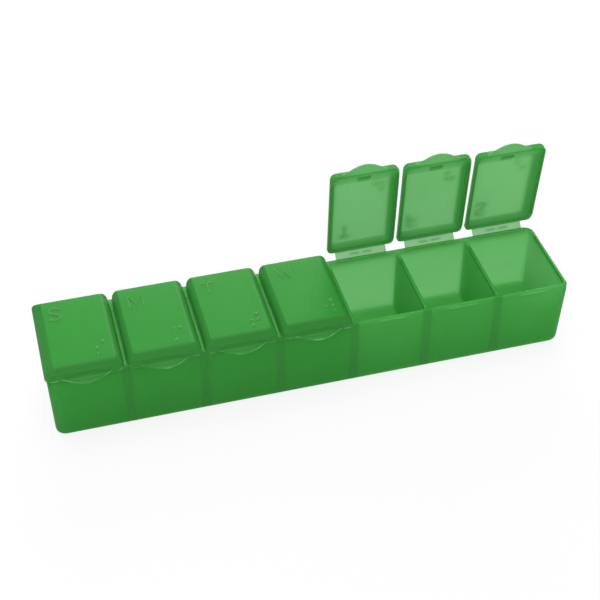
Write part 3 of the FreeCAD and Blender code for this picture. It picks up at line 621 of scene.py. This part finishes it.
for index, day in enumerate(DAYS):
    bm = new_bmesh()
    limits = lid_limits(index)
    middle = MIDDLES[index]
    start = ring = rounded_ring(bm, limits, LID_CORNER, HINGE_CORNER, CORNER_STEPS,
                                front_cuts=LID_FRONT_CUTS, side_cuts=LID_SIDE_CUTS)
    note_plan(bm, ring)
    if index == 0:
        plan = bm.verts.layers.float_vector["plan"]
        for vert in ring:
            if vert.co.x < middle and vert.co.y > 0:
                vert[plan] = cornered(vert.co, limits, HINGE_CORNER, END_HINGE_CORNER)

    def hangs(x, y):
        """1 where the skirt hangs past the rim, 0 where the lid rests on it, and a little
        under 1 along the seams, where a low lip drops inside the dividers."""
        hang = share(y, *FRONT_SKIRT_RUN)
        outer = (index == 0 and x < middle) or (index == LAST and x > middle)
        if not outer and abs(x - middle) > PITCH / 2 - 2.0:
            hang = max(hang, SEAM_LIP / HANG * share(abs(y), *SEAM_LIP_RUN))
        if index in (0, LAST):
            hang = max(hang, share(abs(x), *END_SKIRT_RUN) * share(y, *END_SKIRT_BACK))
        return hang

    def even_place(inset, height, drop=0.0):
        """A level inset ring, lowered by drop where the skirt hangs."""
        at = squeezed(limits, drawn_in(limits, inset))

        def place(point):
            x, y = at(point)
            return Vector((x, y, height - drop * hangs(x, y)))
        return place

    def tab_place(reach, tab_height, height):
        """The upright band, drawn out at the front into the thumb tab."""
        along = share(height, BAND_FOOT, FRONT_BAND_TOP)

        def place(point):
            x, y = point.x, point.y
            foot = SEAT - HANG * hangs(x, y)
            to_front = share(y, LID_FRONT + LID_CORNER, LID_FRONT)
            top = SIDE_BAND_TOP + (FRONT_BAND_TOP - SIDE_BAND_TOP) * to_front
            z = foot + (top - foot) * along
            off = abs(x - middle) / TAB_HALF
            if y < LID_FRONT + ON_FRONT and off < 1:
                bulge = (1 - off * off) ** TAB_CURVE
                y -= reach * TAB_REACH * bulge
                z += (tab_height - z) * min(1.0, bulge * 4)
            return Vector((x, y, z))
        return place

    def shaped_place(left, right, front, back, wall=0.0, corner=1.0):
        """A ring whose inset and height differ from side to side, with its corner rounds
        brought down to a share of the lid's own."""
        at = squeezed(limits, (limits[0] + wall + left[0], limits[1] - wall - right[0],
                               limits[2] + wall + front[0], limits[3] - wall - back[0]))

        def place(point):
            to_front = share(point.y, LID_FRONT + LID_CORNER, LID_FRONT)
            to_back = share(point.y, BACK - HINGE_CORNER, BACK)
            side = left[1] if point.x < middle else right[1]
            z = side + (front[1] - side) * to_front + (back[1] - side) * to_back
            made = LID_CORNER if point.y < (limits[2] + limits[3]) / 2 else HINGE_CORNER
            return Vector((*at(cornered(point, limits, made, made * corner)), z))
        return place

    def ribbed_place(inner, raised):
        """The catch rib, a low pad at the middle of the front wall's sloping inside."""
        def place(point):
            spot = inner(point)
            if point.y < LID_FRONT + ON_FRONT and abs(spot.x - middle) < RIB_WIDTH / 2:
                spot.z -= raised * RIB_HEIGHT
            return spot
        return place

    def rib_depth(point):
        on_rib = point.y < LID_FRONT + ON_FRONT and abs(point.x - middle) < RIB_WIDTH / 1.8
        return 0.75 if on_rib else 0.2

    def tab_depth(height, depth):
        """The tab is thin. On a shut lid the tab takes the profile's painted shade and highlights, and the
        lower front corners a painted highlight; on an open lid the tab is painted pale, as painted light
        from behind.
        """
        def thickness_and_painted_light(point):
            off = abs(point.x - middle) / TAB_HALF
            if point.y < LID_FRONT + ON_FRONT and off < 1:
                return 0.05 + 0.1 * max(depth, 0.0) if day in OPEN_ANGLES else depth
            at_corner = point.y < LID_FRONT + LID_CORNER + ON_FRONT and off > 1.1
            # Painted highlight along a shut lid's lower front corners.
            return -0.9 if at_corner and height < 22.6 and day not in OPEN_ANGLES else 0.65
        return thickness_and_painted_light

    settle(bm, ring, even_place(0.1, SEAT, HANG), 0.2)
    for reach, tab_height, height, depth in TAB_PROFILE:
        ring = next_ring(bm, ring, tab_place(reach, tab_height, height), tab_depth(height, depth))
    for number, (left, right, front, back, depth) in enumerate(CROWN_PROFILE):
        if index == 0:
            left = (left[0] * END_SLOPE, left[1])
        if index == LAST:
            right = (right[0] * END_SLOPE, right[1])
        # An open lid's sloping sides get only part of the painted shade of a shut one's.
        depth *= 0.65 if day in OPEN_ANGLES else 1.0
        corner = 1.0 - 0.62 * share(number, 2, 9)
        ring = next_ring(bm, ring, shaped_place(left, right, front, back, corner=corner), depth)
    close_ring(bm, ring)

    ring = next_ring(bm, start, even_place(SKIRT_WALL, SEAT, HANG), 0.5)
    ring = next_ring(bm, ring, even_place(SKIRT_WALL, SEAT), 0.5)
    ring = next_ring(bm, ring, even_place(LID_WALL, SEAT), 0.45)
    for number, (*sides, depth) in enumerate(HOLLOW_PROFILE):
        if number == 2:
            for along, raised in RIB_STEPS:
                inner = shaped_place(*between(last_sides, sides, along), wall=LID_WALL,
                                     corner=0.74 - 0.26 * along)
                ring = next_ring(bm, ring, ribbed_place(inner, raised), rib_depth)
        last_sides = sides
        corner = 1.0 - 0.78 * share(number, 0, 3)
        ring = next_ring(bm, ring, shaped_place(*sides, wall=LID_WALL, corner=corner), depth)
    close_ring(bm, ring)
    bmesh.ops.remove_doubles(bm, verts=bm.verts, dist=NEAR)

    swing(bm, day)
    lid = make_piece(bm, "lid_moulding_" + day, lid_green)
    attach(lid, "lid_" + day)
    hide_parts("lid_" + day)


# ------------------------------------------------------------------ day marks
# A raised initial at the hinge side and raised braille dots at the front of every lid, of
# the same polypropylene and moulded in one with the plate.

LID_TOP = RIM + 3.0
STROKE = 0.3                  # half the width of a stroke, and its height over the plate
LETTER_MIDDLE = (2.0, 2.5)
LETTER_TOPS = {"S": 3.36, "M": 3.66, "T": 3.7, "W": 2.8, "F": 3.5}
LETTER_LEFTS = {"S": 6.95, "M": 6.0, "T": 6.5, "W": 5.9, "F": 6.5}
LETTER_SCALES = {"S": 1.12, "M": 1.16, "T": 1.03, "W": 1.12, "F": 1.08}
# The strokes of each initial: (across, down) from its upper left corner.
STROKES = {
    "S": [[(3.05, 0.95), (2.6, 0.42), (1.9, 0.28), (1.1, 0.33), (0.5, 0.85), (0.45, 1.6),
           (0.95, 2.15), (1.75, 2.5), (2.55, 2.85), (3.0, 3.45), (2.9, 4.15), (2.3, 4.62),
           (1.55, 4.72), (0.8, 4.55), (0.35, 4.0)]],
    "M": [[(0.28, 4.72), (0.28, 0.28), (2.0, 3.4), (3.72, 0.28), (3.72, 4.72)]],
    "T": [[(0.28, 0.28), (3.52, 0.28)], [(1.9, 0.28), (1.9, 4.72)]],
    "W": [[(0.28, 0.28), (1.27, 4.72), (2.25, 1.2), (3.23, 4.72), (4.22, 0.28)]],
    "F": [[(2.8, 0.28), (0.28, 0.28), (0.28, 4.72)], [(0.28, 2.4), (2.4, 2.4)]],
}
INITIALS = ["S", "M", "T", "W", "T", "F", "S"]
# The raised dots of each cell: (column, row) from its upper left dot.
BRAILLE = {
    "S": [(1, 0), (0, 1), (0, 2)],
    "M": [(0, 0), (1, 0), (0, 2)],
    "T": [(1, 0), (0, 1), (1, 1), (0, 2)],
    "W": [(1, 0), (0, 1), (1, 1), (1, 2)],
    "F": [(0, 0), (1, 0), (0, 1)],
}
DOT_RADIUS, DOT_HEIGHT = 0.55, 0.42
DOT_COLUMNS, DOT_ROWS = 1.95, 2.3
DOTS_RIGHT, DOTS_FRONT = 6.0, 4.45

mark_green = green_plastic("mark_green", skin_thin=(0.035, 0.36, 0.04), skin_thick_and_shaded=SKIN_THICK_AND_SHADED,
                           glow_thin=(0.7, 0.9, 0.7), glow_thick_and_shaded=GLOW_THIN,
                           through=0.52, rough=0.38)

for index, day in enumerate(DAYS):
    letter = INITIALS[index]
    smooth = letter == "S"
    scale = LETTER_SCALES[letter]
    letter_x = MIDDLES[index] - LETTER_LEFTS[letter] + LETTER_MIDDLE[0]
    letter_y = BACK - LETTER_TOPS[letter] - LETTER_MIDDLE[1]
    curve = bpy.data.curves.new("strokes", "CURVE")
    curve.dimensions = "3D"
    curve.bevel_depth = STROKE
    curve.bevel_resolution = 3
    curve.use_fill_caps = True
    for stroke in STROKES[letter]:
        spline = curve.splines.new("NURBS" if smooth else "POLY")
        spline.points.add(len(stroke) - 1)
        for point, (across, down) in zip(spline.points, stroke):
            point.co = (letter_x + (across - LETTER_MIDDLE[0]) * scale,
                        letter_y - (down - LETTER_MIDDLE[1]) * scale, LID_TOP, 1.0)
        if smooth:
            spline.order_u = 3
            spline.use_endpoint_u = True
    holder = bpy.data.objects.new("strokes", curve)
    bpy.context.scene.collection.objects.link(holder)
    bpy.context.view_layer.update()
    stroke_mesh = bpy.data.meshes.new_from_object(holder)
    bm = new_bmesh()
    bm.from_mesh(stroke_mesh)
    bpy.data.objects.remove(holder)
    bpy.data.curves.remove(curve)
    bpy.data.meshes.remove(stroke_mesh)
    for column, row in BRAILLE[letter]:
        x = MIDDLES[index] + DOTS_RIGHT - (1 - column) * DOT_COLUMNS
        y = LID_FRONT + DOTS_FRONT + (2 - row) * DOT_ROWS
        dot = bmesh.ops.create_icosphere(bm, subdivisions=3, radius=DOT_RADIUS)["verts"]
        bmesh.ops.scale(bm, vec=(1, 1, DOT_HEIGHT / DOT_RADIUS), verts=dot)
        bmesh.ops.translate(bm, vec=(x, y, LID_TOP), verts=dot)
    bmesh.ops.remove_doubles(bm, verts=bm.verts, dist=NEAR)
    swing(bm, day)
    marks = make_piece(bm, "day_marks_" + day, mark_green)
    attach(marks, "lid_" + day)


# ------------------------------------------------------------------ living hinges
# A thin strip of the same polypropylene joins each lid to the tray's back wall. It is
# moulded flat, and bends into a tight turn when its lid is shut.

FILM_HALF = 7.7               # half the width of a strip
FILM_LENGTH, FILM_THIN = 2.8, 0.4
FILM_RISE = 0.5               # its roots lie this far under and over the hinge line
FILM_STEPS, ROOT_STEPS, FILM_CUTS = 12, 3, 15
FOLD_MARKS = (0.6, 3.2)       # the worn marks of the fold, from the strip's middle

film_green = green_plastic("film_green", skin_thin=(0.2, 0.52, 0.21), skin_thick_and_shaded=(0.1, 0.4, 0.11),
                           glow_thin=(0.68, 0.88, 0.68), glow_thick_and_shaded=(0.45, 0.75, 0.45),
                           through=0.65, rough=0.36)

for middle, day in zip(MIDDLES, DAYS):
    bm = new_bmesh()
    near = (BACK, RIM - FILM_RISE)
    if day in OPEN_ANGLES:
        turn = radians(OPEN_ANGLES[day])
        reach = -FILM_LENGTH / 2
        far = (HINGE_Y + reach * cos(turn) + FILM_RISE * sin(turn),
               RIM - reach * sin(turn) + FILM_RISE * cos(turn))
        line = [tuple(a + (b - a) * k / FILM_STEPS for a, b in zip(near, far))
                for k in range(FILM_STEPS + 1)]
    else:
        run = (FILM_LENGTH - pi * FILM_RISE) / 2
        line = [(BACK + run * k / ROOT_STEPS, RIM - FILM_RISE) for k in range(ROOT_STEPS)]
        for k in range(FILM_STEPS + 1):
            turn = pi * k / FILM_STEPS
            line.append((BACK + run + FILM_RISE * sin(turn), RIM - FILM_RISE * cos(turn)))
        line += [(BACK + run * k / ROOT_STEPS, RIM + FILM_RISE)
                 for k in reversed(range(ROOT_STEPS))]
        far = line[-1]
    strip = [bm.verts.new((middle - FILM_HALF, y, z)) for y, z in line]
    edges = [bm.edges.new(pair) for pair in zip(strip, strip[1:])]
    made = bmesh.ops.extrude_edge_only(bm, edges=edges)["geom"]
    other_side = [g for g in made if isinstance(g, bmesh.types.BMVert)]
    bmesh.ops.translate(bm, vec=(2 * FILM_HALF, 0, 0), verts=other_side)
    across = [e for e in bm.edges if abs(e.verts[0].co.x - e.verts[1].co.x) > 1]
    bmesh.ops.subdivide_edges(bm, edges=across, cuts=FILM_CUTS, use_grid_fill=True)
    fold_height = (near[1] + far[1]) / 2
    for vert in bm.verts:
        on_fold = abs(vert.co.z - fold_height) < 0.2
        marked = on_fold and FOLD_MARKS[0] < abs(vert.co.x - middle) < FOLD_MARKS[1]
        vert[bm.verts.layers.float["thickness_and_painted_light"]] = 0.7 if marked else 0.0
    bmesh.ops.recalc_face_normals(bm, faces=bm.faces)
    bmesh.ops.solidify(bm, geom=bm.faces[:], thickness=FILM_THIN)
    film = make_piece(bm, "hinge_strip_" + day, film_green)
    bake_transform(film, "tray", "lid_" + day, start=tuple(MM * value for value in (middle, *near)),
             end=tuple(MM * value for value in (middle, *far)))
    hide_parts("hinge_film_" + day)
